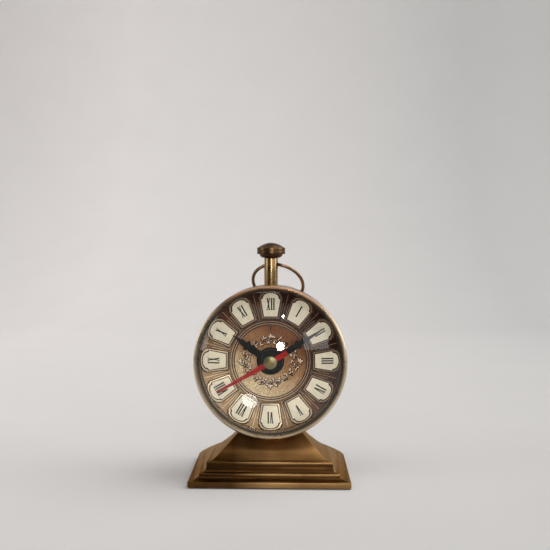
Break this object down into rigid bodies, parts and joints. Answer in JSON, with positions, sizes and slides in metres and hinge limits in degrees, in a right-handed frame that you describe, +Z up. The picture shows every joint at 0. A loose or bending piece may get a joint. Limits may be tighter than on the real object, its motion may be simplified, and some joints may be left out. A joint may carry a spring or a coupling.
{
  "type": "table clock",
  "caption": "Round pocket-watch style desk clock with a domed lens, crown knob and bow ring, on a stepped pyramid base.",
  "frame": {"origin": "centre of the base's footprint, on the table", "axes": "+Z up; the dial faces -Y; +X is to the right of someone who reads the dial"},
  "size_m": [0.0762, 0.0508, 0.1144],
  "materials": {
    "aged_brass": "antique, satin",
    "pale_brass": "pale, polished",
    "steel": "plain",
    "nickel": "bright",
    "lens_glass": "clear, polished",
    "black_rubber": "matt",
    "dial_bronze": "printed, satin",
    "black_paint": "gloss",
    "red_paint": "gloss",
    "green_felt": "felt",
    "black_plastic": "moulded",
    "white_plastic": "moulded",
    "copper": "enamelled wire",
    "board_green": "solder mask"
  },
  "bodies": {
    "clock": {"base_casting": "aged_brass", "base_plate": "steel", "base_felt": "green_felt", "base_plate_screw_left": "steel", "base_plate_screw_right": "steel", "base_screw": "steel", "base_washer": "steel", "base_nut": "steel", "case_drum": "aged_brass", "bezel": "pale_brass", "lens": "lens_glass", "lens_gasket": "black_rubber", "dial_ring": "aged_brass", "dial_plate": "dial_bronze", "mounting_washer": "black_rubber", "mounting_nut": "black_plastic", "movement_front_plate": "black_plastic", "movement_housing": "black_plastic", "button_cell": "nickel", "negative_contact": "nickel", "positive_contact": "nickel", "stator": "steel", "coil_core": "steel", "coil": "copper", "circuit_board": "board_green", "quartz_crystal": "nickel", "stem": "aged_brass", "stem_nut": "steel", "knob": "aged_brass"},
    "second_hand_body": {"second_hand": "red_paint", "hand_cap": "pale_brass", "second_wheel": "white_plastic"},
    "minute_hand_body": {"minute_hand": "black_paint", "cannon_pinion": "white_plastic"},
    "hour_hand_body": {"hour_hand": "black_paint", "hour_wheel": "white_plastic"},
    "minute_wheel_body": {"minute_wheel": "white_plastic"},
    "centre_wheel_body": {"centre_wheel": "white_plastic"},
    "third_wheel_body": {"third_wheel": "white_plastic"},
    "fifth_wheel_body": {"fifth_wheel": "white_plastic"},
    "rotor_body": {"rotor": "white_plastic"},
    "set_knob_body": {"set_knob": "black_plastic"},
    "bow_ring_body": {"bow_ring": "aged_brass"},
    "back_cover_body": {"back_cover": "aged_brass"}
  },
  "joints": [
    {"name": "second_hand_spin", "type": "hinge", "parent": "clock", "child": "second_hand_body", "pos_m": [0, 0, 0.057], "axis": [0, 1, 0], "continuous": true},
    {"name": "minute_hand_spin", "type": "hinge", "parent": "clock", "child": "minute_hand_body", "pos_m": [0, 0, 0.057], "axis": [0, 1, 0], "continuous": true},
    {"name": "hour_hand_spin", "type": "hinge", "parent": "clock", "child": "hour_hand_body", "pos_m": [0, 0, 0.057], "axis": [0, 1, 0], "continuous": true},
    {"name": "minute_wheel_spin", "type": "hinge", "parent": "clock", "child": "minute_wheel_body", "pos_m": [-0.00509, 0, 0.05191], "axis": [0, 1, 0], "continuous": true},
    {"name": "centre_wheel_spin", "type": "hinge", "parent": "clock", "child": "centre_wheel_body", "pos_m": [0, 0, 0.057], "axis": [0, 1, 0], "continuous": true},
    {"name": "third_wheel_spin", "type": "hinge", "parent": "clock", "child": "third_wheel_body", "pos_m": [0.00679, 0, 0.06379], "axis": [0, 1, 0], "continuous": true},
    {"name": "fifth_wheel_spin", "type": "hinge", "parent": "clock", "child": "fifth_wheel_body", "pos_m": [-0.00693, 0, 0.06393], "axis": [0, 1, 0], "continuous": true},
    {"name": "rotor_spin", "type": "hinge", "parent": "clock", "child": "rotor_body", "pos_m": [-0.01293, 0, 0.06393], "axis": [0, 1, 0], "continuous": true},
    {"name": "set_knob_spin", "type": "hinge", "parent": "clock", "child": "set_knob_body", "pos_m": [-0.01018, 0, 0.04682], "axis": [0, 1, 0], "continuous": true},
    {"name": "bow_swing", "type": "hinge", "parent": "clock", "child": "bow_ring_body", "pos_m": [0, 0.0019, 0.10335], "axis": [0.9744, -0.225, 0], "range_deg": [0, 258]},
    {"name": "back_cover_slide", "type": "slide", "parent": "clock", "child": "back_cover_body", "axis": [0, 1, 0], "range_m": [0, 0.03]}
  ],
  "couplings": [
    {"joint": "third_wheel_spin", "follows": "second_hand_spin", "ratio": -0.13333},
    {"joint": "centre_wheel_spin", "follows": "second_hand_spin", "ratio": 0.016667},
    {"joint": "fifth_wheel_spin", "follows": "second_hand_spin", "ratio": -6},
    {"joint": "rotor_spin", "follows": "second_hand_spin", "ratio": 30},
    {"joint": "minute_wheel_spin", "follows": "minute_hand_spin", "ratio": -0.33333},
    {"joint": "hour_hand_spin", "follows": "minute_hand_spin", "ratio": 0.083333},
    {"joint": "set_knob_spin", "follows": "minute_hand_spin", "ratio": 1}
  ]
}
